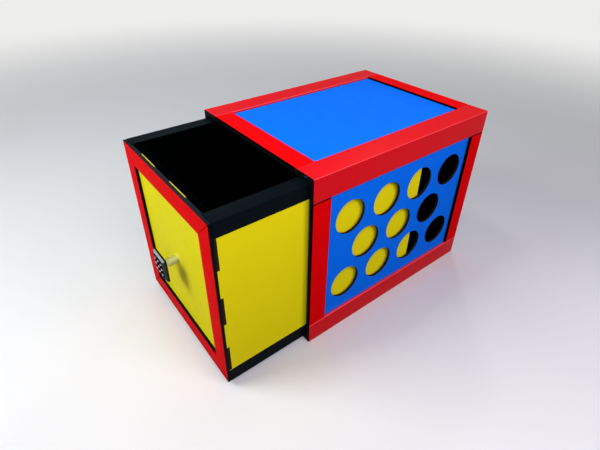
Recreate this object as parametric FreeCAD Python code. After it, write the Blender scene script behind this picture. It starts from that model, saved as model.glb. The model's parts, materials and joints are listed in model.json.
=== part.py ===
# Magic drawer box: an open-fronted case, an outer drawer with no back, a load tray that nests in
# the drawer and rides with it, and a turn-catch in the case's back that can hold the tray behind.
# Millimetres, +Z up, +Y from the drawer's knob to the case's back. The sizes below are laid out
# from the middle of the case's mouth at its underside, and every piece is exported about the
# centre of the whole object's footprint, with the drawer pulled out as it rests.
import FreeCAD, Part
import os

# Case: boards inside a skin of angle rails and flat cross strips
case_width = 189.0
case_depth = 247.0
case_height = 200.0
case_board = 3.0
rail_leg = 25.0
rail_wall = 2.4
rail_arris = 0.8
strip_width = 20.3
back_recess = 1.0

# Round sight holes in both sides of the case, in staggered rows
hole_diameter = 37.5
hole_pitch_y = 50.0
hole_pitch_z = 41.6
hole_rows = 3
long_row_holes = 4

# Outer drawer: front, two sides and a floor
drawer_board = 2.5
side_clearance = 1.4
floor_clearance = 0.3
top_clearance = 1.9
closed_clearance = 0.5
front_stand_off = 6.5
pulled_out = 86.5

# Finger joints between the drawer's front and sides, and the fillers let into the front's top edge
finger_length = 31.0
finger_pitch = 62.0
filler_offset = -3.5
filler_end_gap = 6.9

# Mitred frame on the drawer's front, and angle trim along its sides
frame_width = 20.3
frame_thickness = 3.0
frame_inset = 0.3
front_board_drop = 1.2
angle_leg = 15.0
angle_wall = 0.8
angle_arris = 0.5
angle_front_gap = 0.4

# Stops that keep the drawer's open back inside the case
stop_length = 10.0
stop_width = 12.0
stop_clearance = 0.5
batten_setback = 3.0
batten_width = 10.0

# Knob: tapered stem, square bezel, face plate and set stones
stem_length = 14.8
stem_front_diameter = 10.0
stem_back_diameter = 7.6
bezel_size = 25.0
bezel_thickness = 3.6
bezel_bevel = 1.8
face_size = 20.0
face_thickness = 0.8
stone_diameter = 3.2
stone_table = 1.7
stone_height = 0.9
stone_pitch = 6.3
stones_per_row = 3

# Knob screw, entering from inside the drawer
screw_diameter = 4.0
screw_hole = 4.4
screw_grip = 9.0
screw_head_diameter = 8.0
screw_head_height = 2.4
washer_diameter = 11.0
washer_thickness = 0.8

# Load tray inside the drawer
tray_board = 2.5
tray_side_clearance = 0.8
tray_floor_clearance = 0.3
tray_top_clearance = 1.6
tray_front_clearance = 0.4
tray_back_clearance = 0.3
tray_back_drop = 20.3

# Turn-catch through the case's back board
catch_drop = 16.6
catch_shaft_diameter = 4.0
catch_running_fit = 0.05
bush_diameter = 8.0
bush_flange_diameter = 12.0
catch_clearance = 0.3
catch_bar_length = 28.0
catch_bar_width = 6.0
catch_bar_thickness = 2.5
button_diameter = 14.0
button_thickness = 2.0
thumb_bar_length = 11.0
thumb_bar_width = 4.0
thumb_bar_height = 3.0

# Places worked out from the sizes
case_wall = rail_wall + case_board
skin_x = case_width / 2 - rail_wall
inner_x = case_width / 2 - case_wall
inner_bottom = case_wall
inner_top = case_height - case_wall
back_outer_y = case_depth - back_recess
back_inner_y = back_outer_y - case_board

drawer_x = inner_x - side_clearance
drawer_bottom = inner_bottom + floor_clearance
drawer_top = inner_top - top_clearance
drawer_back_y = back_inner_y - closed_clearance - pulled_out
drawer_front_y = -front_stand_off - pulled_out
board_front_y = drawer_front_y + frame_thickness
board_back_y = board_front_y + drawer_board
side_outer_x = drawer_x - angle_wall
side_inner_x = side_outer_x - drawer_board
filler_pitch = side_inner_x - filler_end_gap - finger_length / 2
side_bottom = drawer_bottom + angle_wall
side_top = drawer_top - angle_wall
drawer_floor_top = side_bottom + drawer_board
frame_bottom = drawer_bottom + frame_inset
frame_top = drawer_top - frame_inset
front_top = frame_top - front_board_drop
front_middle_z = (frame_bottom + frame_top) / 2
angle_front_y = board_front_y + angle_front_gap

washer_back_y = board_back_y + washer_thickness
screw_back_y = washer_back_y + screw_head_height
bezel_back_y = board_front_y - stem_length
bezel_front_y = bezel_back_y - bezel_thickness
knob_tip_y = bezel_front_y - stone_height

tray_x = side_inner_x - tray_side_clearance
tray_front_y = screw_back_y + tray_front_clearance
tray_closed_back_y = back_inner_y - tray_back_clearance
tray_back_y = tray_closed_back_y - pulled_out
tray_bottom = drawer_floor_top + tray_floor_clearance
tray_top = side_top - tray_top_clearance
tray_floor_top = tray_bottom + tray_board
tray_wall_front_y = tray_front_y + tray_board
tray_wall_back_y = tray_back_y - tray_board

catch_z = inner_top - catch_drop
catch_bar_back_y = tray_closed_back_y - tray_board - catch_clearance
catch_bar_front_y = catch_bar_back_y - catch_bar_thickness
bush_back_y = case_depth
button_front_y = bush_back_y + catch_clearance
button_back_y = button_front_y + button_thickness
catch_tip_y = button_back_y + thumb_bar_height

footprint_y = (knob_tip_y + catch_tip_y) / 2

along_x = FreeCAD.Vector(1, 0, 0)
along_y = FreeCAD.Vector(0, 1, 0)

os.makedirs("parts", exist_ok=True)


def save(node, shape):
    placed = shape.copy()
    placed.translate(FreeCAD.Vector(0, -footprint_y, 0))
    placed.exportStep("parts/" + node + ".step")


def block(x_span, y_span, z_span):
    corner = FreeCAD.Vector(x_span[0], y_span[0], z_span[0])
    return Part.makeBox(x_span[1] - x_span[0], y_span[1] - y_span[0], z_span[1] - z_span[0], corner)


def rod(diameter, y_span, x=0.0, z=0.0):
    start = FreeCAD.Vector(x, y_span[0], z)
    return Part.makeCylinder(diameter / 2, y_span[1] - y_span[0], start, along_y)


def taper(front_diameter, back_diameter, y_span, x=0.0, z=0.0):
    start = FreeCAD.Vector(x, y_span[0], z)
    return Part.makeCone(front_diameter / 2, back_diameter / 2, y_span[1] - y_span[0], start, along_y)


def prism(outline, y_span):
    corners = [FreeCAD.Vector(x, y_span[0], z) for x, z in outline]
    face = Part.Face(Part.makePolygon(corners + corners[:1]))
    return face.extrude(FreeCAD.Vector(0, y_span[1] - y_span[0], 0))


# Spans of the fingers that stand evenly about a middle, and of what lies between them
def finger_spans(middle, pitch):
    centres = [middle + step * pitch for step in (-1, 0, 1)]
    return [(centre - finger_length / 2, centre + finger_length / 2) for centre in centres]


def spans_between(spans, low, high):
    starts = [low] + [span[1] for span in spans]
    ends = [span[0] for span in spans] + [high]
    return list(zip(starts, ends))


# An angle of equal legs along Y, its outer corner rounded; the corner names say where it sits
angle_turns = {"top_right": 0, "bottom_right": 90, "bottom_left": 180, "top_left": 270}


def angle(corner, leg, wall, arris, half_width, z_span, y_span):
    def point(x, z):
        return FreeCAD.Vector(x, 0, z)

    shoulder = arris * (1 - 0.5 ** 0.5)
    rounding = Part.Arc(point(-arris, 0), point(-shoulder, -shoulder), point(0, -arris)).toShape()
    lines = [point(0, -arris), point(0, -leg), point(-wall, -leg), point(-wall, -wall)]
    lines += [point(-leg, -wall), point(-leg, 0), point(-arris, 0)]
    outline = Part.Wire([rounding, *Part.makePolygon(lines).Edges])
    solid = Part.Face(outline).extrude(FreeCAD.Vector(0, y_span[1] - y_span[0], 0))
    solid.rotate(FreeCAD.Vector(0, 0, 0), along_y, angle_turns[corner])
    x = half_width if corner.endswith("right") else -half_width
    z = z_span[1] if corner.startswith("top") else z_span[0]
    solid.translate(FreeCAD.Vector(x, y_span[0], z))
    return solid


def case_boards():
    full_depth = (0, case_depth)
    save("case_top_board", block((-skin_x, skin_x), full_depth, (inner_top, inner_top + case_board)))
    save("case_bottom_board", block((-skin_x, skin_x), full_depth, (rail_wall, inner_bottom)))

    side = block((inner_x, skin_x), full_depth, (inner_bottom, inner_top))
    middle_y = case_depth / 2
    middle_z = case_height / 2
    for row in range(hole_rows):
        z = middle_z + (row - (hole_rows - 1) / 2) * hole_pitch_z
        holes = long_row_holes - row % 2
        for column in range(holes):
            y = middle_y + (column - (holes - 1) / 2) * hole_pitch_y
            start = FreeCAD.Vector(inner_x, y, z)
            side = side.cut(Part.makeCylinder(hole_diameter / 2, case_board, start, along_x))
    save("case_right_board", side)
    save("case_left_board", side.mirror(FreeCAD.Vector(0, 0, 0), along_x))

    back = block((-inner_x, inner_x), (back_inner_y, back_outer_y), (inner_bottom, inner_top))
    save("case_back_board", back.cut(rod(bush_diameter, (back_inner_y, back_outer_y), z=catch_z)))


def case_rails():
    for corner in angle_turns:
        rail = angle(corner, rail_leg, rail_wall, rail_arris, case_width / 2, (0, case_height),
                     (0, case_depth))
        save("rail_" + corner, rail)


def case_strips():
    ends = {"front": (0, strip_width), "back": (case_depth - strip_width, case_depth)}
    across = (rail_leg - case_width / 2, case_width / 2 - rail_leg)
    upright = (rail_leg, case_height - rail_leg)
    for end, y_span in ends.items():
        save("top_" + end + "_strip", block(across, y_span, (case_height - rail_wall, case_height)))
        save("bottom_" + end + "_strip", block(across, y_span, (0, rail_wall)))
        save("right_" + end + "_strip", block((skin_x, case_width / 2), y_span, upright))
        save("left_" + end + "_strip", block((-case_width / 2, -skin_x), y_span, upright))


def drawer_boards():
    board_x = (-side_outer_x, side_outer_x)
    board_y = (board_front_y, board_back_y)
    fingers = finger_spans(front_middle_z, finger_pitch)
    front = block(board_x, board_y, (side_bottom, front_top))
    for notch_z in spans_between(fingers, side_bottom, front_top):
        front = front.cut(block((side_inner_x, side_outer_x), board_y, notch_z))
        front = front.cut(block((-side_outer_x, -side_inner_x), board_y, notch_z))
    top_notch_z = (front_top - drawer_board, front_top)
    fillers = [block(notch_x, board_y, top_notch_z) for notch_x in finger_spans(filler_offset, filler_pitch)]
    for filler in fillers:
        front = front.cut(filler)
    save("drawer_front_board", front.cut(rod(screw_hole, board_y, z=front_middle_z)))
    save("front_edge_fillers", Part.makeCompound(fillers))

    side_x = (side_inner_x, side_outer_x)
    side = block(side_x, (board_back_y, drawer_back_y), (side_bottom, side_top))
    for tab_z in spans_between(fingers, side_bottom, front_top):
        side = side.fuse(block(side_x, board_y, tab_z))
    side = side.removeSplitter()
    save("drawer_right_board", side)
    save("drawer_left_board", side.mirror(FreeCAD.Vector(0, 0, 0), along_x))

    floor_z = (side_bottom, drawer_floor_top)
    save("drawer_floor_board", block((-side_inner_x, side_inner_x), (board_back_y, drawer_back_y), floor_z))


# One mitred member lies along X with its outer edge up, then turns about the drawer's middle
def frame_member(length, outer_reach, turn):
    half = length / 2
    inner_half = half - frame_width
    inner_reach = outer_reach - frame_width
    outline = [(-half, outer_reach), (half, outer_reach), (inner_half, inner_reach), (-inner_half, inner_reach)]
    member = prism(outline, (drawer_front_y, board_front_y))
    member.rotate(FreeCAD.Vector(0, 0, 0), along_y, turn)
    member.translate(FreeCAD.Vector(0, 0, front_middle_z))
    return member


def drawer_frame():
    frame_length = 2 * drawer_x
    frame_height = frame_top - frame_bottom
    save("front_frame_top", frame_member(frame_length, frame_height / 2, 0))
    save("front_frame_right", frame_member(frame_height, drawer_x, 90))
    save("front_frame_bottom", frame_member(frame_length, frame_height / 2, 180))
    save("front_frame_left", frame_member(frame_height, drawer_x, 270))


def drawer_angles():
    for corner in angle_turns:
        trim = angle(corner, angle_leg, angle_wall, angle_arris, drawer_x, (drawer_bottom, drawer_top),
                     (angle_front_y, drawer_back_y))
        save("drawer_angle_" + corner, trim)


def drawer_stop_pieces():
    stop_y = (drawer_back_y - stop_length, drawer_back_y)
    stop_z = (drawer_top, inner_top - stop_clearance)
    outer = drawer_x - angle_arris
    stops = [block((outer - stop_width, outer), stop_y, stop_z), block((-outer, stop_width - outer), stop_y, stop_z)]
    save("drawer_stops", Part.makeCompound(stops))

    batten_y = (batten_setback, batten_setback + batten_width)
    save("mouth_batten", block((-inner_x, inner_x), batten_y, (drawer_top + stop_clearance, inner_top)))


def knob():
    z = front_middle_z
    stem = taper(stem_front_diameter, stem_back_diameter, (bezel_back_y, board_front_y), z=z)
    thread_y = (board_front_y - screw_grip, board_front_y)
    save("knob_stem", stem.cut(rod(screw_diameter, thread_y, z=z)))

    def square(size, y_span):
        return block((-size / 2, size / 2), y_span, (z - size / 2, z + size / 2))

    bezel = square(bezel_size, (bezel_front_y, bezel_back_y))
    front_edges = [edge for edge in bezel.Edges if edge.BoundBox.YMax < bezel_front_y + bezel_bevel / 2]
    bezel = bezel.makeChamfer(bezel_bevel, front_edges)
    face = square(face_size, (bezel_front_y, bezel_front_y + face_thickness))
    save("knob_bezel", bezel.cut(face))
    save("knob_face", face)

    steps = [step - (stones_per_row - 1) / 2 for step in range(stones_per_row)]
    stone_y = (knob_tip_y, bezel_front_y)
    stones = []
    for across in steps:
        for up in steps:
            stones.append(taper(stone_table, stone_diameter, stone_y, across * stone_pitch, z + up * stone_pitch))
    save("knob_stones", Part.makeCompound(stones))

    shank = rod(screw_diameter, (board_front_y - screw_grip, washer_back_y), z=z)
    head = rod(screw_head_diameter, (washer_back_y, screw_back_y), z=z)
    save("knob_screw", shank.fuse(head))
    washer = rod(washer_diameter, (board_back_y, washer_back_y), z=z)
    save("knob_washer", washer.cut(rod(screw_diameter, (board_back_y, washer_back_y), z=z)))


def tray():
    inner_tray_x = tray_x - tray_board
    wall_y = (tray_wall_front_y, tray_wall_back_y)
    height = (tray_bottom, tray_top)
    save("tray_front_board", block((-tray_x, tray_x), (tray_front_y, tray_wall_front_y), height))
    back_z = (tray_bottom, tray_top - tray_back_drop)
    save("tray_back_board", block((-tray_x, tray_x), (tray_wall_back_y, tray_back_y), back_z))
    save("tray_right_board", block((inner_tray_x, tray_x), wall_y, height))
    save("tray_left_board", block((-tray_x, -inner_tray_x), wall_y, height))
    save("tray_floor_board", block((-inner_tray_x, inner_tray_x), wall_y, (tray_bottom, tray_floor_top)))


def catch():
    barrel = rod(bush_diameter, (back_inner_y, back_outer_y), z=catch_z)
    flange = rod(bush_flange_diameter, (back_outer_y, bush_back_y), z=catch_z)
    bore = rod(catch_shaft_diameter + 2 * catch_running_fit, (back_inner_y, bush_back_y), z=catch_z)
    save("catch_bush", barrel.fuse(flange).removeSplitter().cut(bore))

    shaft = rod(catch_shaft_diameter, (catch_bar_front_y, button_back_y), z=catch_z)
    save("catch_shaft", shaft)

    def bar(length, width, y_span):
        straight = (length - width) / 2
        middle = block((-straight, straight), y_span, (catch_z - width / 2, catch_z + width / 2))
        ends = [rod(width, y_span, x, catch_z) for x in (-straight, straight)]
        return middle.fuse(ends).removeSplitter()

    catch_bar = bar(catch_bar_length, catch_bar_width, (catch_bar_front_y, catch_bar_back_y))
    save("catch_bar", catch_bar.cut(shaft))
    disc = rod(button_diameter, (button_front_y, button_back_y), z=catch_z)
    thumb_bar = bar(thumb_bar_length, thumb_bar_width, (button_back_y, catch_tip_y))
    save("catch_button", disc.cut(shaft).fuse(thumb_bar))


case_boards()
case_rails()
case_strips()
drawer_boards()
drawer_frame()
drawer_angles()
drawer_stop_pieces()
knob()
tray()
catch()
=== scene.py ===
# Magic drawer box: a blue case in red rails with round sight holes, a yellow drawer that stands pulled
# out, its mitred red front, black trim and a square knob set with stones, and a turn-catch behind.
import bpy
import bmesh
import json
import math
from mathutils import Matrix, Vector


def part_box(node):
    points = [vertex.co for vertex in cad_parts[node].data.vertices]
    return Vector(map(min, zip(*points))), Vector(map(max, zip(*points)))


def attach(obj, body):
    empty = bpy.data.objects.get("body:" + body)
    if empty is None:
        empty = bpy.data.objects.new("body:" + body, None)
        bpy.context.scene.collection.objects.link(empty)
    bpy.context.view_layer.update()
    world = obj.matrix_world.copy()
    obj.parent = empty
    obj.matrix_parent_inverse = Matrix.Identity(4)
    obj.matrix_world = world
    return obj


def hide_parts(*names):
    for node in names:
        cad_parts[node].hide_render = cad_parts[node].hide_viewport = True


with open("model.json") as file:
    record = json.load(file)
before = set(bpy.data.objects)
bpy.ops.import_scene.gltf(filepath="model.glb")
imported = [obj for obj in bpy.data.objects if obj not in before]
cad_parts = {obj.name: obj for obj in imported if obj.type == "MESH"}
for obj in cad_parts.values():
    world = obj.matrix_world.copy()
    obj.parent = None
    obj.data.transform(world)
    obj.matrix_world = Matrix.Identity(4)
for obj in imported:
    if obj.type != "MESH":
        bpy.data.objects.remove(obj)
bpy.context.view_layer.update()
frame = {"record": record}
record = frame["record"]
bodyOf = {node: body for body, nodes in record["behaviour"]["bodies"].items() for node in nodes}
mm = 0.001
alongX, alongY, alongZ = Vector((1, 0, 0)), Vector((0, 1, 0)), Vector((0, 0, 1))
print("frame loaded:", len(bodyOf), "nodes")


# Camera

cameraView = {
    "place": (0.32060, -0.26465, 0.37628),  # metres
    "azimuth": 52.094,  # degrees round from the drawer's front towards +X
    "elevation": 33.564,  # degrees down
    "roll": 0.515,
    "lens": 25.79,  # mm on a 36 mm sensor
    "shift": (0.0044, -0.0392),
}


def addCamera(view):
    data = bpy.data.cameras.new("studioCamera")
    data.sensor_width = 36
    data.lens = view["lens"]
    data.shift_x, data.shift_y = view["shift"]
    data.clip_start = 0.01
    camera = bpy.data.objects.new("studioCamera", data)
    turn = Matrix.Rotation(math.radians(view["azimuth"]), 4, "Z")
    tilt = Matrix.Rotation(math.radians(90 - view["elevation"]), 4, "X")
    roll = Matrix.Rotation(math.radians(view["roll"]), 4, "Z")
    camera.matrix_world = Matrix.Translation(view["place"]) @ turn @ tilt @ roll
    bpy.context.scene.collection.objects.link(camera)
    bpy.context.scene.camera = camera


addCamera(cameraView)
bpy.context.scene.view_settings.view_transform = "Standard"
print("camera placed")


# Node and colour helpers

def linear(code):
    shares = [int(code[place:place + 2], 16) / 255 for place in (1, 3, 5)]
    return tuple(s / 12.92 if s <= 0.04045 else ((s + 0.055) / 1.055) ** 2.4 for s in shares) + (1.0,)


# Settings name an input socket by name or number, or else a property of the node
def addNode(tree, kind, settings=None, links=None):
    node = tree.nodes.new(kind)
    for name, value in (settings or {}).items():
        if isinstance(name, int) or name in node.inputs:
            node.inputs[name].default_value = value
        else:
            setattr(node, name, value)
    for name, source in (links or {}).items():
        tree.links.new(source, node.inputs[name])
    return node


def startMaterial(name, settings):
    material = bpy.data.materials.new(name)
    material.use_nodes = True
    tree = material.node_tree
    tree.nodes.clear()
    shader = addNode(tree, "ShaderNodeBsdfPrincipled", settings)
    addNode(tree, "ShaderNodeOutputMaterial", links={"Surface": shader.outputs["BSDF"]})
    place = addNode(tree, "ShaderNodeTexCoord").outputs["Object"]
    return material, tree, shader, place


# A noise whose features are about so many metres across, in each direction
def addGrain(tree, place, feature, detail=2.0):
    spread = [1 / side for side in (feature if isinstance(feature, tuple) else (feature,) * 3)]
    mapped = addNode(tree, "ShaderNodeMapping", {"Scale": spread}, {"Vector": place})
    noise = addNode(tree, "ShaderNodeTexNoise", {"Scale": 1.0, "Detail": detail, "Roughness": 0.55},
                    {"Vector": mapped.outputs["Vector"]})
    return noise.outputs["Fac"]


def addTone(tree, shader, grain, darkCode, lightCode):
    share = addNode(tree, "ShaderNodeMapRange", {"From Min": 0.35, "From Max": 0.65}, {"Value": grain})
    mix = addNode(tree, "ShaderNodeMix", {"data_type": "RGBA", 6: linear(darkCode), 7: linear(lightCode)},
                  {0: share.outputs["Result"]})
    tree.links.new(mix.outputs[2], shader.inputs["Base Color"])


def addRoughness(tree, shader, grain, low, high):
    share = addNode(tree, "ShaderNodeMapRange",
                    {"From Min": 0.3, "From Max": 0.7, "To Min": low, "To Max": high}, {"Value": grain})
    tree.links.new(share.outputs["Result"], shader.inputs["Roughness"])


def addRelief(tree, shader, grain, depth):
    bump = addNode(tree, "ShaderNodeBump", {"Strength": 1.0, "Distance": depth}, {"Height": grain})
    tree.links.new(bump.outputs["Normal"], shader.inputs["Normal"])


# Materials

# Sprayed satin enamel on sealed board: flat strong colour, a soft sheen and a fine orange peel
enamel = {
    "cloud": 14 * mm,  # slow drift of tone across a panel
    "peel": 1.6 * mm,  # width of one dimple of the spray
    "peelDepth": 0.005 * mm,
    "drift": 0.04,  # how far the roughness strays from its mean
}


def satinEnamel(name, darkCode, lightCode, specular, roughness):
    material, tree, shader, place = startMaterial(name, {"Specular IOR Level": specular, "IOR": 1.5})
    addTone(tree, shader, addGrain(tree, place, enamel["cloud"], 3), darkCode, lightCode)
    peel = addGrain(tree, place, enamel["peel"])
    addRoughness(tree, shader, peel, roughness - enamel["drift"], roughness + enamel["drift"])
    addRelief(tree, shader, peel, enamel["peelDepth"])
    return material


# Extruded gloss PVC: an even colour with a wide highlight, drawn out in very faint lines along the rail
railPlastic = {
    "dark": "#e6111c",
    "light": "#e8121d",
    "edgeDark": "#f14c57",  # the roundings: a paler red painted on as a highlight
    "paintedHighlightLight": "#f5555f",
    "drawWidth": 1.1 * mm,
    "drawLength": 90 * mm,
    "drawDepth": 0.00008 * mm,
    "drift": 0.01,
}


def extrudedPlastic(name, darkCode, lightCode, specular, roughness):
    material, tree, shader, place = startMaterial(name, {"Specular IOR Level": specular, "IOR": 1.53})
    width = railPlastic["drawWidth"]
    draw = addGrain(tree, place, (width, railPlastic["drawLength"], width), 1)
    addTone(tree, shader, draw, darkCode, lightCode)
    addRoughness(tree, shader, draw, roughness - railPlastic["drift"], roughness + railPlastic["drift"])
    addRelief(tree, shader, draw, railPlastic["drawDepth"])
    return material


# Laser-cut board edge: charred black-brown, with soot streaks across the thickness
cutEdge = {
    "dark": "#0d0906",
    "light": "#2c1d10",
    "streak": 0.7 * mm,
    "streakLength": 5 * mm,
    "char": 0.05 * mm,
}


def charredEdge(name):
    material, tree, shader, place = startMaterial(name, {"Specular IOR Level": 0.15, "Roughness": 0.85})
    streaks = addGrain(tree, place, (cutEdge["streakLength"], cutEdge["streak"], cutEdge["streak"]), 4)
    addTone(tree, shader, streaks, cutEdge["dark"], cutEdge["light"])
    addRelief(tree, shader, streaks, cutEdge["char"])
    return material


# Rolled black paint: almost no sheen, a fine tooth
flatBlack = {
    "dark": "#010202",
    "light": "#030404",
    "tooth": 0.9 * mm,
    "toothDepth": 0.03 * mm,
    "drift": 0.06,
}


def rolledBlack(name, darkCode, lightCode, specular, roughness):
    material, tree, shader, place = startMaterial(name, {"Specular IOR Level": specular})
    tooth = addGrain(tree, place, flatBlack["tooth"], 3)
    addTone(tree, shader, tooth, darkCode, lightCode)
    addRoughness(tree, shader, tooth, roughness - flatBlack["drift"], roughness)
    addRelief(tree, shader, tooth, flatBlack["toothDepth"])
    return material


# Metals: the grain that polishing, plating or turning leaves decides how the highlight breaks up
def plainMetal(name, darkCode, lightCode, roughness, feature, depth):
    material, tree, shader, place = startMaterial(name, {"Metallic": 1.0})
    grain = addGrain(tree, place, feature, 3)
    addTone(tree, shader, grain, darkCode, lightCode)
    addRoughness(tree, shader, grain, roughness * 0.7, roughness * 1.4)
    addRelief(tree, shader, grain, depth)
    return material


# Foil-backed glass stone: each cut face mirrors something else, so it sparkles white and grey
foil = {"dark": "#c8d4de", "light": "#f0f5f9", "cloud": 2.5 * mm}


def foiledStone(name):
    material, tree, shader, place = startMaterial(
        name, {"Metallic": 0.85, "Roughness": 0.04, "Coat Weight": 1.0, "Coat Roughness": 0.02})
    addTone(tree, shader, addGrain(tree, place, foil["cloud"]), foil["dark"], foil["light"])
    return material


# The numbers are specular level and roughness, or a metal's roughness and its grain's size and depth
finishes = {
    "blueEnamel": satinEnamel("blueSatinEnamel", "#0a75fb", "#0c78ff", 0.012, 0.45),
    "redEnamel": satinEnamel("redSatinEnamel", "#ee0309", "#f4050d", 0.01, 0.5),
    "yellowEnamel": satinEnamel("yellowSatinEnamel", "#feee14", "#fff017", 0.005, 0.34),
    # the rails' roundings are painted a paler red that stands in for a highlight along them
    "redPlastic": extrudedPlastic("redGlossPvc", railPlastic["dark"], railPlastic["light"], 0.045, 0.30),
    "redPlasticPaintedHighlight": extrudedPlastic("redPvcPaintedHighlight", railPlastic["edgeDark"], railPlastic["paintedHighlightLight"],
                                      0.07, 0.28),
    "blackPlastic": extrudedPlastic("blackSatinPvc", "#070d11", "#0a1216", 0.015, 0.40),
    "cutEdge": charredEdge("charredBoardEdge"),
    "flatBlack": rolledBlack("flatBlackPaint", flatBlack["dark"], flatBlack["light"], 0.0, 0.98),
    "rimBlack": rolledBlack("blackRimPaint", "#05080a", "#0a0e11", 0.03, 0.6),
    # a lighter, bluer black given only to the drawer's upward top edges: painted sheen
    "paintedSheenBlack": rolledBlack("paintedSheenBlackPaint", "#0d1518", "#141d20", 0.03, 0.36),
    "blackChrome": plainMetal("blackChromePlate", "#2b2e32", "#313438", 0.08, 3 * mm, 0.002 * mm),
    "chrome": plainMetal("satinChrome", "#d6dade", "#e6e9ec", 0.42, 3 * mm, 0.002 * mm),
    "zincSteel": plainMetal("zincPlatedSteel", "#8f959c", "#b4b8bd", 0.32, 0.8 * mm, 0.01 * mm),
    "brass": plainMetal("turnedBrass", "#a97f34", "#c79a45", 0.24, 0.5 * mm, 0.01 * mm),
    "powderCoat": rolledBlack("blackPowderCoat", "#0a0a0b", "#17181a", 0.4, 0.6),
    "blackEnamel": rolledBlack("glossBlackEnamel", "#07080a", "#0a0b0d", 0.0, 0.3),
    "stone": foiledStone("foiledGlassStone"),
}
print("materials made:", len(finishes))


# Mesh helpers

squarely, nearly, mostly, partly = 0.98, 0.9, 0.5, 0.2  # how straight a face looks one way, to take a coat
touching = 0.01 * mm  # how near a vertex lies to the edge or corner that it belongs to


# A sheet square to one axis, cut to an outline given in the other two, with round holes through it
def cutSheet(low, high, across, outline=None, holes=(), holeSegments=72):
    bm = bmesh.new()
    first, second = [axis for axis in range(3) if axis != across]

    def spot(a, b):
        point = Vector((0, 0, 0))
        point[first], point[second], point[across] = a, b, low[across]
        return point

    corners = outline or [(low[first], low[second]), (high[first], low[second]),
                          (high[first], high[second]), (low[first], high[second])]
    verts = [bm.verts.new(spot(*corner)) for corner in corners]
    if holes:
        for start, end in zip(verts, verts[1:] + verts[:1]):
            bm.edges.new((start, end))
        facing = Vector((0, 0, 0))
        facing[across] = 1
        turn = alongZ.rotation_difference(facing).to_matrix().to_4x4()
        for centre, diameter in holes:
            bmesh.ops.create_circle(bm, cap_ends=False, segments=holeSegments, radius=diameter / 2,
                                    matrix=Matrix.Translation(spot(*centre)) @ turn)
        bmesh.ops.triangle_fill(bm, use_beauty=True, edges=bm.edges[:])
    else:
        bm.faces.new(verts)
    grown = bmesh.ops.extrude_face_region(bm, geom=bm.faces[:])["geom"]
    step = Vector((0, 0, 0))
    step[across] = high[across] - low[across]
    bmesh.ops.translate(bm, vec=step, verts=[part for part in grown if isinstance(part, bmesh.types.BMVert)])
    bmesh.ops.recalc_face_normals(bm, faces=bm.faces[:])
    return bm


def roundEdges(bm, edges, width, segments):
    bmesh.ops.bevel(bm, geom=edges, offset=width, offset_type="OFFSET", segments=segments, profile=0.5,
                    affect="EDGES", material=-1, clamp_overlap=True)


def splitAt(bm, place, direction, cutAway=False):
    return bmesh.ops.bisect_plane(bm, geom=bm.verts[:] + bm.edges[:] + bm.faces[:], plane_co=place,
                                  plane_no=direction, clear_outer=cutAway, dist=0.001 * mm)["geom_cut"]


# Every edge that turns more sharply than so many degrees loses its corner
def easeEdges(bm, width, sharper=50):
    sharp = [edge for edge in bm.edges
             if edge.is_manifold and edge.calc_face_angle(0) > math.radians(sharper)]
    roundEdges(bm, sharp, width, 2)


# A profile of (radius, place) turned about an axis along Y
def turnProfile(profile, centre, steps=64):
    bm = bmesh.new()
    verts = [bm.verts.new((centre.x + radius, place, centre.z)) for radius, place in profile]
    edges = [bm.edges.new(pair) for pair in zip(verts, verts[1:])]
    bmesh.ops.spin(bm, geom=verts + edges, cent=centre, axis=alongY, angle=math.tau, steps=steps,
                   use_merge=True)
    bmesh.ops.remove_doubles(bm, verts=bm.verts[:], dist=0.001 * mm)
    bmesh.ops.recalc_face_normals(bm, faces=bm.faces[:])
    return bm


def joinInto(bm, other):
    spare = bpy.data.meshes.new("spare")
    other.to_mesh(spare)
    other.free()
    bm.from_mesh(spare)
    bpy.data.meshes.remove(spare)


# A rule gives the number of a face's coat from its normal and middle; unpainted faces take the first coat
def paint(bm, rule):
    for face in bm.faces:
        face.material_index = rule(face.normal, face.calc_center_median())


# The dressed piece stands where its node is, moves with the node's body and takes the given coats as its
# finishes
def makePiece(bm, node, coats, smoothBelow=40):
    words = node.split("_")
    name = words[0] + "".join(word.capitalize() for word in words[1:])
    mesh = bpy.data.meshes.new(name)
    bm.to_mesh(mesh)
    bm.free()
    for coat in coats:
        mesh.materials.append(finishes[coat])
    mesh.polygons.foreach_set("use_smooth", [smoothBelow > 0] * len(mesh.polygons))
    piece = bpy.data.objects.new(name, mesh)
    bpy.context.scene.collection.objects.link(piece)
    if smoothBelow:
        mesh.set_sharp_from_angle(angle=math.radians(smoothBelow))
        weighted = piece.modifiers.new("flatFacesStayFlat", "WEIGHTED_NORMAL")
        weighted.keep_sharp = True
    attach(piece, bodyOf[node])
    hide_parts(node)


# Which way a node's painted face looks, by the side of the object that its name gives
outwards = {"top": alongZ, "bottom": -alongZ, "left": -alongX, "right": alongX, "back": alongY,
            "front": -alongY, "floor": -alongZ}


def squareTo(direction):
    return [axis for axis in range(3) if abs(direction[axis]) > mostly][0]


# Case boards: enamel outside, flat black inside, black-painted rim at the mouth

caseBoard = {
    "ease": 0.25 * mm,
    "chip": (81.5 * mm, 84.5 * mm),  # where the top's rim paint is knocked off, from the middle to the right
    "holeDiameter": 37.5 * mm,
    "holePitchY": 50 * mm,
    "holePitchZ": 41.6 * mm,
    "rowsOfHoles": (4, 3, 4),
    "holeEase": 0.12 * mm,
    "bushHole": 8 * mm,
    "backMargin": 2.2 * mm,  # a band of the rim's black on the blue, just in front of the back strips
}


def sightHoles(low, high):
    middleY, middleZ = (low.y + high.y) / 2, (low.z + high.z) / 2
    holes = []
    for row, count in enumerate(caseBoard["rowsOfHoles"]):
        z = middleZ + (row - (len(caseBoard["rowsOfHoles"]) - 1) / 2) * caseBoard["holePitchZ"]
        for column in range(count):
            y = middleY + (column - (count - 1) / 2) * caseBoard["holePitchY"]
            holes.append(((y, z), caseBoard["holeDiameter"]))
    return holes


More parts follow.
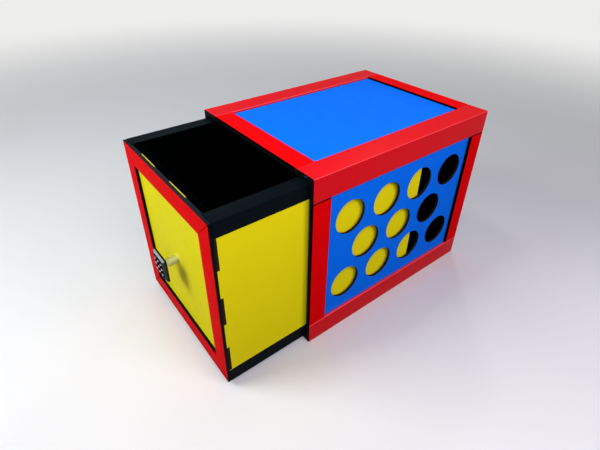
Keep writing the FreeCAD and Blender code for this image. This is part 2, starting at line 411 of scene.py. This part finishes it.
def caseBoardPiece(side):
    node = "case_" + side + "_board"
    low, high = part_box(node)
    outward = outwards[side]
    across = squareTo(outward)
    marginStart = math.inf
    if side in ("left", "right"):
        bm = cutSheet(low, high, across, holes=sightHoles(low, high))
        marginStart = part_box(side + "_back_strip")[0].y - caseBoard["backMargin"]
        splitAt(bm, Vector((0, marginStart, 0)), alongY)
        easeEdges(bm, caseBoard["holeEase"])
    elif side == "back":
        bushLow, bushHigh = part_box("catch_bush")
        shaft = ((bushLow.x + bushHigh.x) / 2, (bushLow.z + bushHigh.z) / 2)
        bm = cutSheet(low, high, across, holes=[(shaft, caseBoard["bushHole"])], holeSegments=32)
        easeEdges(bm, caseBoard["holeEase"])
    else:
        bm = cutSheet(low, high, across)
        for place in caseBoard["chip"]:
            splitAt(bm, Vector((place, 0, 0)), alongX)
        easeEdges(bm, caseBoard["ease"])
    chipStart, chipEnd = caseBoard["chip"]

    def coat(normal, centre):
        atMouth = side != "back" and centre.y < low.y + caseBoard["ease"]
        facing = normal.dot(outward)
        chipped = side == "top" and facing > partly and chipStart < centre.x < chipEnd
        if atMouth and not chipped:
            return 3
        if facing > partly:
            return 3 if centre.y > marginStart else 0
        return 1 if facing < -mostly else 2

    paint(bm, coat)
    makePiece(bm, node, ["blueEnamel", "flatBlack", "cutEdge", "rimBlack"])


for side in ("top", "bottom", "left", "right", "back"):
    caseBoardPiece(side)
print("case boards made")


# Angle rails and drawer trim: an L drawn out along Y, its outer corner rounded and its inner one filleted.
# The coats are for the flats, the front end and the roundings; on the red rails the roundings take a paler
# red, a painted highlight

rail = {"wall": 2.4 * mm, "arris": 1.2 * mm, "lip": 1.5 * mm, "fillet": 0.6 * mm, "ease": 0.22 * mm,
        "roundFrom": 27}  # degrees off square at which a face counts as part of a rounding
trim = {"wall": 0.8 * mm, "arris": 0.5 * mm, "lip": 0.25 * mm, "fillet": 0.3 * mm, "ease": 0.12 * mm,
        "roundFrom": 27}


def anglePiece(node, sizes, coats):
    low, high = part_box(node)
    toRight = 1 if node.endswith("right") else -1
    toTop = 1 if "top" in node else -1
    outerX, innerX = (high.x, low.x) if toRight > 0 else (low.x, high.x)
    outerZ, innerZ = (high.z, low.z) if toTop > 0 else (low.z, high.z)
    wallX = outerX - toRight * sizes["wall"]
    wallZ = outerZ - toTop * sizes["wall"]
    outline = [(outerX, outerZ), (innerX, outerZ), (innerX, wallZ),
               (wallX, wallZ), (wallX, innerZ), (outerX, innerZ)]
    bm = cutSheet(low, high, 1, outline)

    def longEdge(x, z):
        corner = Vector((x, 0, z))
        return [edge for edge in bm.edges
                if all((Vector((v.co.x, 0, v.co.z)) - corner).length < touching for v in edge.verts)]

    roundEdges(bm, longEdge(outerX, outerZ), sizes["arris"], 6)
    roundEdges(bm, longEdge(innerX, outerZ) + longEdge(outerX, innerZ), sizes["lip"], 4)
    roundEdges(bm, longEdge(wallX, wallZ), sizes["fillet"], 3)
    easeEdges(bm, sizes["ease"])
    rounded = math.sin(math.radians(sizes["roundFrom"]))

    def coat(normal, centre):
        if normal.y < -nearly:
            return 1
        return 2 if min(abs(normal.x), abs(normal.z)) > rounded else 0

    paint(bm, coat)
    makePiece(bm, node, coats, 30)


for corner in ("top_left", "top_right", "bottom_left", "bottom_right"):
    # the red rails' roundings take the paler red: a painted highlight
    anglePiece("rail_" + corner, rail, ["redPlastic", "rimBlack", "redPlasticPaintedHighlight"])
    anglePiece("drawer_angle_" + corner, trim, ["blackPlastic"] * 3)
print("rails and trim made")


# Cross strips: a red face on board whose cut edges are blackened, which draws a dark line at each joint

strip = {
    "ease": 0.12 * mm,
    "endEase": 0.45 * mm,
    "overspray": 0.9 * mm,  # black carried over the front edge of the side strips at the back
}


def stripPiece(side, end):
    node = side + "_" + end + "_strip"
    low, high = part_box(node)
    outward = outwards[side]
    bm = cutSheet(low, high, squareTo(outward))
    if side in ("left", "right"):
        outerX = high.x if side == "right" else low.x
        ends = [edge for edge in bm.edges
                if all(abs(v.co.x - outerX) < touching for v in edge.verts)
                and abs(edge.verts[0].co.z - edge.verts[1].co.z) < touching]
        roundEdges(bm, ends, strip["endEase"], 1)
    sprayed = low.y + strip["overspray"]
    if end == "back":
        splitAt(bm, Vector((0, sprayed, 0)), alongY)
    easeEdges(bm, strip["ease"])

    def coat(normal, centre):
        if side in ("top", "bottom"):
            return 1 if abs(normal.y) > partly or normal.dot(outward) < -mostly else 0
        blackened = end == "back" and centre.y < sprayed
        return 0 if normal.dot(outward) > squarely and not blackened else 1

    paint(bm, coat)
    makePiece(bm, node, ["redEnamel", "flatBlack"])


for side in ("top", "bottom", "left", "right"):
    for end in ("front", "back"):
        stripPiece(side, end)
print("strips made")


# Drawer boards, finger-jointed at the front's sides, with black fingers let into its top edge

drawer = {
    "fingerLength": 31 * mm,
    "ease": 0.15 * mm,
    "margin": 0.45 * mm,  # black round the sides' yellow
    "sliver": (1.15 * mm, 1.75 * mm),  # yellow left showing on the front's top edge, from its face inwards
}


# Where three fingers in a row start and end
def fingerSpans(middle, pitch):
    half = drawer["fingerLength"] / 2
    return [(middle + step * pitch - half, middle + step * pitch + half) for step in (-1, 0, 1)]


frontLow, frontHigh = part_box("drawer_front_board")
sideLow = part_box("drawer_right_board")[0]
fillerLow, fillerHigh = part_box("front_edge_fillers")
frameLow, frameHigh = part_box("front_frame_left")
fillers = fingerSpans((fillerLow.x + fillerHigh.x) / 2,
                      (fillerHigh.x - fillerLow.x - drawer["fingerLength"]) / 2)
fingers = fingerSpans((frameLow.z + frameHigh.z) / 2, fillers[1][0] - fillers[0][0])
sliverStart, sliverEnd = [frontLow.y + depth for depth in drawer["sliver"]]


def drawerFront():
    outer, inner = frontHigh.x, sideLow.x
    rightEdge = [(inner, frontLow.z)]
    for start, end in fingers:
        rightEdge += [(inner, start), (outer, start), (outer, end), (inner, end)]
    rightEdge += [(inner, frontHigh.z)]
    leftEdge = [(-x, z) for x, z in reversed(rightEdge)]
    topEdge = []
    for start, end in reversed(fillers):
        topEdge += [(end, frontHigh.z), (end, fillerLow.z), (start, fillerLow.z), (start, frontHigh.z)]
    bm = cutSheet(frontLow, frontHigh, 1, rightEdge + topEdge + leftEdge)
    for level in (sliverStart, sliverEnd):
        splitAt(bm, Vector((0, level, 0)), alongY)
    easeEdges(bm, drawer["ease"])

    def coat(normal, centre):
        if abs(normal.y) > mostly:
            return 0 if normal.y < 0 else 1
        if normal.z < mostly or centre.z < (fillerLow.z + frontHigh.z) / 2:
            return 2
        if centre.y > sliverEnd:
            return 1
        between = fillers[0][1] < centre.x < fillers[2][0]
        # coat 3 is the lighter black on the front's top edge: painted sheen
        return 0 if between and sliverStart < centre.y < sliverEnd else 3

    paint(bm, coat)
    makePiece(bm, "drawer_front_board", ["yellowEnamel", "flatBlack", "cutEdge", "paintedSheenBlack"])


def edgeFillers():
    bm = bmesh.new()
    for start, end in fillers:
        low, high = Vector((start, fillerLow.y, fillerLow.z)), Vector((end, fillerHigh.y, fillerHigh.z))
        joinInto(bm, cutSheet(low, high, 1))
    splitAt(bm, Vector((0, sliverEnd, 0)), alongY)
    easeEdges(bm, drawer["ease"])
    # the fillers' top and front take the lighter black: painted sheen
    paint(bm, lambda normal, centre: 0 if centre.y < sliverEnd else 1)
    makePiece(bm, "front_edge_fillers", ["paintedSheenBlack", "flatBlack"])


def drawerSide(side):
    node = "drawer_" + side + "_board"
    low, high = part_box(node)
    outward = outwards[side]
    outline = [(high.y, high.z), (high.y, low.z), (low.y, low.z)]
    for start, end in fingers:
        outline += [(low.y, start), (frontHigh.y, start), (frontHigh.y, end), (low.y, end)]
    outline += [(low.y, frontHigh.z), (frontHigh.y, frontHigh.z), (frontHigh.y, high.z)]
    bm = cutSheet(low, high, 0, outline)
    face = max(bm.faces, key=lambda f: f.normal.dot(outward))
    margin = bmesh.ops.inset_region(bm, faces=[face], thickness=drawer["margin"], use_boundary=True,
                                    use_even_offset=True)["faces"]
    for marginFace in margin:
        marginFace.material_index = 3
    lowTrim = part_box("drawer_angle_bottom_" + side)[1].z
    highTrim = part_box("drawer_angle_top_" + side)[0].z
    for level in (lowTrim, highTrim):
        splitAt(bm, Vector((0, 0, level)), alongZ)
    easeEdges(bm, drawer["ease"])
    for face in bm.faces:
        facing = face.normal.dot(outward)
        yellow = face.material_index == 0 and lowTrim < face.calc_center_median().z < highTrim
        if facing > partly:
            face.material_index = 0 if yellow and facing > squarely else 3
        else:
            face.material_index = 1 if facing < -mostly else 2
    makePiece(bm, node, ["yellowEnamel", "flatBlack", "cutEdge", "rimBlack"])


def drawerFloor():
    bm = cutSheet(*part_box("drawer_floor_board"), 2)
    easeEdges(bm, drawer["ease"])
    paint(bm, lambda normal, centre: 0 if normal.z < -mostly else 1)
    makePiece(bm, "drawer_floor_board", ["yellowEnamel", "flatBlack"])


drawerFront()
edgeFillers()
drawerSide("left")
drawerSide("right")
drawerFloor()
print("drawer boards made")


# The front's frame: four flat members, mitred at the corners, red in front with black edges

frontFrame = {"ease": 0.22 * mm, "mitred": 0.25}  # a mitred end's normal leans at least so far along X and Z


def frameMember(side):
    node = "front_frame_" + side
    low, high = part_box(node)
    outward = outwards[side]
    bm = cutSheet(low, high, 1)
    for direction in (-1, 1):
        if side in ("top", "bottom"):
            corner = Vector((low.x if direction < 0 else high.x, 0, high.z if side == "top" else low.z))
            along = alongX * direction
        else:
            corner = Vector((low.x if side == "left" else high.x, 0, low.z if direction < 0 else high.z))
            along = alongZ * direction
        cut = splitAt(bm, corner, along - outward, True)
        bmesh.ops.contextual_create(bm, geom=[part for part in cut if isinstance(part, bmesh.types.BMEdge)])
    bmesh.ops.recalc_face_normals(bm, faces=bm.faces[:])
    easeEdges(bm, frontFrame["ease"], sharper=40)

    def coat(normal, centre):
        if normal.y < -squarely:
            return 0
        if min(abs(normal.x), abs(normal.z)) > frontFrame["mitred"]:
            return 2
        # the top member's top face takes the lighter black: painted sheen
        return 3 if side == "top" and normal.z > mostly else 1

    paint(bm, coat)
    makePiece(bm, node, ["redEnamel", "rimBlack", "flatBlack", "paintedSheenBlack"])


for side in ("top", "bottom", "left", "right"):
    frameMember(side)
print("front frame made")


# Knob: black chrome bezel with a bevelled front, black face, set stones, tapered stem, screw and washer

knob = {
    "bevel": 1.8 * mm,
    "faceSize": 20 * mm,
    "faceDepth": 0.8 * mm,
    "wallSlope": 0.01 * mm,  # the bezel's inner wall leans inwards by so much
    "ease": 0.12 * mm,
    "stemFront": 10 * mm,
    "stemBack": 7.6 * mm,
    "collar": 0.3 * mm,  # how far back the stem's front keeps its full width
    "neck": 1.0 * mm,  # how far back the stem's long taper starts
    "neckStep": 0.35 * mm,  # how much smaller the radius is there
    "turnedEase": 0.08 * mm,
    "stoneDiameter": 2.9 * mm,
    "stonePitch": 6.3 * mm,
    "stonesPerRow": 3,
    "cutFaces": 8,
}

# A stone's cut as (share of its radius, share of its height), from its girdle to its table
stoneCut = [(1, 0), (1, 0.12), (0.84, 0.5), (0.55, 1)]

fastener = {
    "shank": 4 * mm,
    "point": 0.6 * mm,  # length of the taper at the shank's tip
    "pointShare": 0.7,
    "headEdge": 1.1 * mm,  # how far below its crown the screw's head starts to dome
    "headShoulder": 0.4 * mm,
    "domeShares": (0.86, 0.55),
    "ease": 0.1 * mm,
}


def knobBezel():
    low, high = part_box("knob_bezel")
    bm = cutSheet(low, high, 1)
    front = [edge for edge in bm.edges if all(v.co.y < low.y + touching for v in edge.verts)]
    roundEdges(bm, front, knob["bevel"], 1)
    face = min(bm.faces, key=lambda f: f.calc_center_median().y)
    rim = (high.x - low.x - 2 * knob["bevel"] - knob["faceSize"]) / 2
    bmesh.ops.inset_individual(bm, faces=[face], thickness=rim, depth=0)
    bmesh.ops.inset_individual(bm, faces=[face], thickness=knob["wallSlope"], depth=-knob["faceDepth"])
    easeEdges(bm, knob["ease"], sharper=35)
    makePiece(bm, "knob_bezel", ["blackChrome"], 30)


def knobStem():
    low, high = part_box("knob_stem")
    centre = (low + high) / 2
    front, back = knob["stemFront"] / 2, knob["stemBack"] / 2
    profile = [(0, low.y), (front, low.y), (front, low.y + knob["collar"]),
               (front - knob["neckStep"], low.y + knob["neck"]), (back, high.y), (0, high.y)]
    bm = turnProfile(profile, centre)
    easeEdges(bm, knob["turnedEase"])
    makePiece(bm, "knob_stem", ["chrome"], 35)


def knobFace():
    bm = cutSheet(*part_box("knob_face"), 1)
    easeEdges(bm, knob["ease"])
    makePiece(bm, "knob_face", ["blackEnamel"])


def knobStones():
    low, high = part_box("knob_stones")
    middle = (low + high) / 2
    height = high.y - low.y
    girdle = knob["stoneDiameter"] / 2
    bm = bmesh.new()
    for row in range(knob["stonesPerRow"]):
        for column in range(knob["stonesPerRow"]):
            across = (column - (knob["stonesPerRow"] - 1) / 2) * knob["stonePitch"]
            up = (row - (knob["stonesPerRow"] - 1) / 2) * knob["stonePitch"]
            centre = Vector((middle.x + across, middle.y, middle.z + up))
            cut = [(girdle * share, high.y - depth * height) for share, depth in stoneCut]
            joinInto(bm, turnProfile([(0, high.y)] + cut + [(0, low.y)], centre, knob["cutFaces"]))
    paint(bm, lambda normal, centre: 1 if centre.y > middle.y else 0)
    makePiece(bm, "knob_stones", ["stone", "blackEnamel"], 0)


def knobScrew():
    low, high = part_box("knob_screw")
    centre = (low + high) / 2
    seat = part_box("knob_washer")[1].y
    shank, head = fastener["shank"] / 2, (high.x - low.x) / 2
    shoulder, crown = fastener["domeShares"]
    profile = [(0, low.y), (shank * fastener["pointShare"], low.y), (shank, low.y + fastener["point"]),
               (shank, seat), (head, seat), (head, high.y - fastener["headEdge"]),
               (head * shoulder, high.y - fastener["headShoulder"]), (head * crown, high.y), (0, high.y)]
    bm = turnProfile(profile, centre, 32)
    easeEdges(bm, fastener["ease"])
    makePiece(bm, "knob_screw", ["zincSteel"], 35)


def knobWasher():
    low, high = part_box("knob_washer")
    bore, rim = fastener["shank"] / 2, (high.x - low.x) / 2
    profile = [(bore, low.y), (rim, low.y), (rim, high.y), (bore, high.y), (bore, low.y)]
    bm = turnProfile(profile, (low + high) / 2, 32)
    easeEdges(bm, fastener["ease"])
    makePiece(bm, "knob_washer", ["zincSteel"], 35)


knobBezel()
knobStem()
knobFace()
knobStones()
knobScrew()
knobWasher()
print("knob made")


# Load tray, drawer stops and mouth batten: flat black board with eased edges

blackBoard = {"ease": 0.2 * mm, "stopWidth": 12 * mm}


def blackBoardPiece(node, across):
    bm = cutSheet(*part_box(node), across)
    easeEdges(bm, blackBoard["ease"])
    makePiece(bm, node, ["flatBlack"])


def drawerStops():
    low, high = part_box("drawer_stops")
    width = blackBoard["stopWidth"]
    bm = bmesh.new()
    for start, end in ((low.x, low.x + width), (high.x - width, high.x)):
        joinInto(bm, cutSheet(Vector((start, low.y, low.z)), Vector((end, high.y, high.z)), 2))
    easeEdges(bm, blackBoard["ease"])
    makePiece(bm, "drawer_stops", ["flatBlack"])


for side in ("front", "back", "left", "right", "floor"):
    blackBoardPiece("tray_" + side + "_board", squareTo(outwards[side]))
blackBoardPiece("mouth_batten", 2)
drawerStops()
print("tray, stops and batten made")


# Turn-catch: brass bush, steel shaft, black bar inside and button outside

catch = {
    "bore": 4.1 * mm,
    "barrel": 8 * mm,
    "bushEase": 0.12 * mm,
    "shaft": 4 * mm,
    "shaftEase": 0.15 * mm,
    "thumbLength": 11 * mm,
    "thumbWidth": 4 * mm,
    "thumbHeight": 3 * mm,
    "thumbSunk": 0.3 * mm,  # how deep the thumb bar's foot is let into the disc
    "ease": 0.25 * mm,
    "roundSteps": 12,
}


def catchBush():
    low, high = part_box("catch_bush")
    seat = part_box("case_back_board")[1].y
    bore, barrel, flange = catch["bore"] / 2, catch["barrel"] / 2, (high.x - low.x) / 2
    profile = [(bore, low.y), (barrel, low.y), (barrel, seat), (flange, seat), (flange, high.y),
               (bore, high.y), (bore, low.y)]
    bm = turnProfile(profile, (low + high) / 2, 48)
    easeEdges(bm, catch["bushEase"])
    makePiece(bm, "catch_bush", ["brass"], 35)


def catchShaft():
    low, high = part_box("catch_shaft")
    radius = catch["shaft"] / 2
    bm = turnProfile([(0, low.y), (radius, low.y), (radius, high.y), (0, high.y)], (low + high) / 2, 32)
    easeEdges(bm, catch["shaftEase"])
    makePiece(bm, "catch_shaft", ["zincSteel"], 35)


# The outline of a bar with round ends, in X and Z about its middle
def roundEnded(middle, length, width):
    radius, straight = width / 2, (length - width) / 2
    outline = []
    for side in (1, -1):
        for step in range(catch["roundSteps"] + 1):
            turn = math.pi * (step / catch["roundSteps"] - 0.5)
            outline.append((middle.x + side * (straight + radius * math.cos(turn)),
                            middle.z + side * radius * math.sin(turn)))
    return outline


def catchBar():
    low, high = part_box("catch_bar")
    outline = roundEnded((low + high) / 2, high.x - low.x, high.z - low.z)
    bm = cutSheet(low, high, 1, outline)
    easeEdges(bm, catch["ease"])
    makePiece(bm, "catch_bar", ["powderCoat"], 35)


def catchButton():
    low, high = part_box("catch_button")
    centre = (low + high) / 2
    radius = (high.x - low.x) / 2
    discBack = high.y - catch["thumbHeight"]
    bm = turnProfile([(0, low.y), (radius, low.y), (radius, discBack), (0, discBack)], centre, 48)
    outline = roundEnded(centre, catch["thumbLength"], catch["thumbWidth"])
    foot = Vector((0, discBack - catch["thumbSunk"], 0))
    joinInto(bm, cutSheet(foot, Vector((0, high.y, 0)), 1, outline))
    easeEdges(bm, catch["ease"])
    makePiece(bm, "catch_button", ["powderCoat"], 35)


catchBush()
catchShaft()
catchBar()
catchButton()
print("catch made")


# Studio: pale floor and backdrop, a soft key from the left and front, and weaker soft lamps all round

studio = {
    "floorRadius": 12.0,
    "floorSeen": "#e6e5e3",  # what the camera and reflections see
    "floorBounce": "#2e2e2d",  # what lights the object from below
    "fadeFrom": 0.45,  # metres from the middle where the floor starts to turn into the backdrop
    "fadeTo": 1.7,
    "skySeen": "#ededec",
    "ceilingSeen": "#4a4c4e",  # the studio's unlit ceiling, for what mirrors it
    "riseFrom": 0.08,  # how far up the backdrop turns into the ceiling, as the sine of the angle
    "riseTo": 0.30,
    "skyHorizon": "#c4c8cc",
    "skyZenith": "#8b9096",
    "skyStrength": 0.35,
    "aim": (0.0, 0.0, 0.1),
    "lamps": {
        "softKey": {"place": (-0.25, -0.66, 0.66), "size": 0.42, "watts": 4.7, "colour": "#f5fdff"},
        "softSide": {"place": (0.68, 0.18, 0.55), "size": 0.35, "watts": 2.3, "colour": "#f0e8ff"},
        "softFill": {"place": (0.51, -0.51, 0.55), "size": 0.35, "watts": 1.5, "colour": "#f0e8ff"},
        "softHigh": {"place": (0.42, -0.16, 0.64), "size": 0.30, "watts": 1.2, "colour": "#fffaf4"},
        "softTop": {"place": (-0.26, -0.44, 1.44), "size": 0.20, "watts": 1.8, "colour": "#ffffff"},
        "softBack": {"place": (-0.93, 0.18, 0.92), "size": 0.50, "watts": 1.8, "colour": "#d6e6ff"},
        "softRim": {"place": (-0.61, 0.85, 1.09), "size": 0.12, "watts": 1.6, "colour": "#ffffff"},
        "softLow": {"place": (-0.96, -1.02, 0.36), "size": 0.22, "watts": 1.1, "colour": "#ffffff"},
    },
}


# 1 for rays from the camera, a mirror or glass, 0 for those that carry diffuse light
def seenShare(tree):
    path = addNode(tree, "ShaderNodeLightPath")
    first = addNode(tree, "ShaderNodeMath", {"operation": "MAXIMUM"},
                    {0: path.outputs["Is Camera Ray"], 1: path.outputs["Is Glossy Ray"]})
    both = addNode(tree, "ShaderNodeMath", {"operation": "MAXIMUM"},
                   {0: first.outputs["Value"], 1: path.outputs["Is Transmission Ray"]})
    return both.outputs["Value"]


def addFloor():
    bm = bmesh.new()
    bmesh.ops.create_circle(bm, cap_ends=True, segments=96, radius=studio["floorRadius"])
    mesh = bpy.data.meshes.new("studioFloor")
    bm.to_mesh(mesh)
    bm.free()
    material, tree, shader, place = startMaterial("paleStudioPaper",
                                                  {"Roughness": 0.95, "Specular IOR Level": 0.05})
    seen = seenShare(tree)
    mix = addNode(tree, "ShaderNodeMix", {"data_type": "RGBA", 6: linear(studio["floorBounce"]),
                                          7: linear(studio["floorSeen"])}, {0: seen})
    tree.links.new(mix.outputs[2], shader.inputs["Base Color"])
    reach = addNode(tree, "ShaderNodeVectorMath", {"operation": "LENGTH"}, {0: place}).outputs["Value"]
    fade = addNode(tree, "ShaderNodeMapRange",
                   {"interpolation_type": "SMOOTHSTEP", "From Min": studio["fadeFrom"],
                    "From Max": studio["fadeTo"]}, {"Value": reach})
    share = addNode(tree, "ShaderNodeMath", {"operation": "MULTIPLY"}, {0: fade.outputs["Result"], 1: seen})
    backdrop = addNode(tree, "ShaderNodeEmission", {"Color": linear(studio["skySeen"]), "Strength": 1.0})
    blend = addNode(tree, "ShaderNodeMixShader",
                    links={0: share.outputs["Value"], 1: shader.outputs["BSDF"],
                           2: backdrop.outputs["Emission"]})
    output = [node for node in tree.nodes if node.type == "OUTPUT_MATERIAL"][0]
    tree.links.new(blend.outputs["Shader"], output.inputs["Surface"])
    mesh.materials.append(material)
    floor = bpy.data.objects.new("studioFloor", mesh)
    bpy.context.scene.collection.objects.link(floor)


def addSky():
    world = bpy.data.worlds.new("studioSky")
    world.use_nodes = True
    tree = world.node_tree
    tree.nodes.clear()
    direction = addNode(tree, "ShaderNodeTexCoord").outputs["Generated"]
    height = addNode(tree, "ShaderNodeSeparateXYZ", links={0: direction}).outputs["Z"]
    light = addNode(tree, "ShaderNodeMix", {"data_type": "RGBA", "clamp_factor": True,
                                            6: linear(studio["skyHorizon"]), 7: linear(studio["skyZenith"])},
                    {0: height})
    lit = addNode(tree, "ShaderNodeBackground", {"Strength": studio["skyStrength"]},
                  {"Color": light.outputs[2]})
    rise = addNode(tree, "ShaderNodeMapRange",
                   {"interpolation_type": "SMOOTHSTEP", "From Min": studio["riseFrom"],
                    "From Max": studio["riseTo"]}, {"Value": height})
    backdrop = addNode(tree, "ShaderNodeMix", {"data_type": "RGBA", 6: linear(studio["skySeen"]),
                                               7: linear(studio["ceilingSeen"])}, {0: rise.outputs["Result"]})
    seen = addNode(tree, "ShaderNodeBackground", {"Strength": 1.0}, {"Color": backdrop.outputs[2]})
    mix = addNode(tree, "ShaderNodeMixShader",
                  links={0: seenShare(tree), 1: lit.outputs[0], 2: seen.outputs[0]})
    addNode(tree, "ShaderNodeOutputWorld", links={"Surface": mix.outputs[0]})
    bpy.context.scene.world = world


def addLamps():
    for name, lamp in studio["lamps"].items():
        data = bpy.data.lights.new(name, "AREA")
        data.shape = "DISK"
        data.size = lamp["size"]
        data.energy = lamp["watts"]
        data.color = linear(lamp["colour"])[:3]
        light = bpy.data.objects.new(name, data)
        light.visible_camera = False
        light.location = lamp["place"]
        toAim = Vector(studio["aim"]) - Vector(lamp["place"])
        light.rotation_euler = toAim.to_track_quat("-Z", "Y").to_euler()
        bpy.context.scene.collection.objects.link(light)


addFloor()
addSky()
addLamps()
print("studio lit")
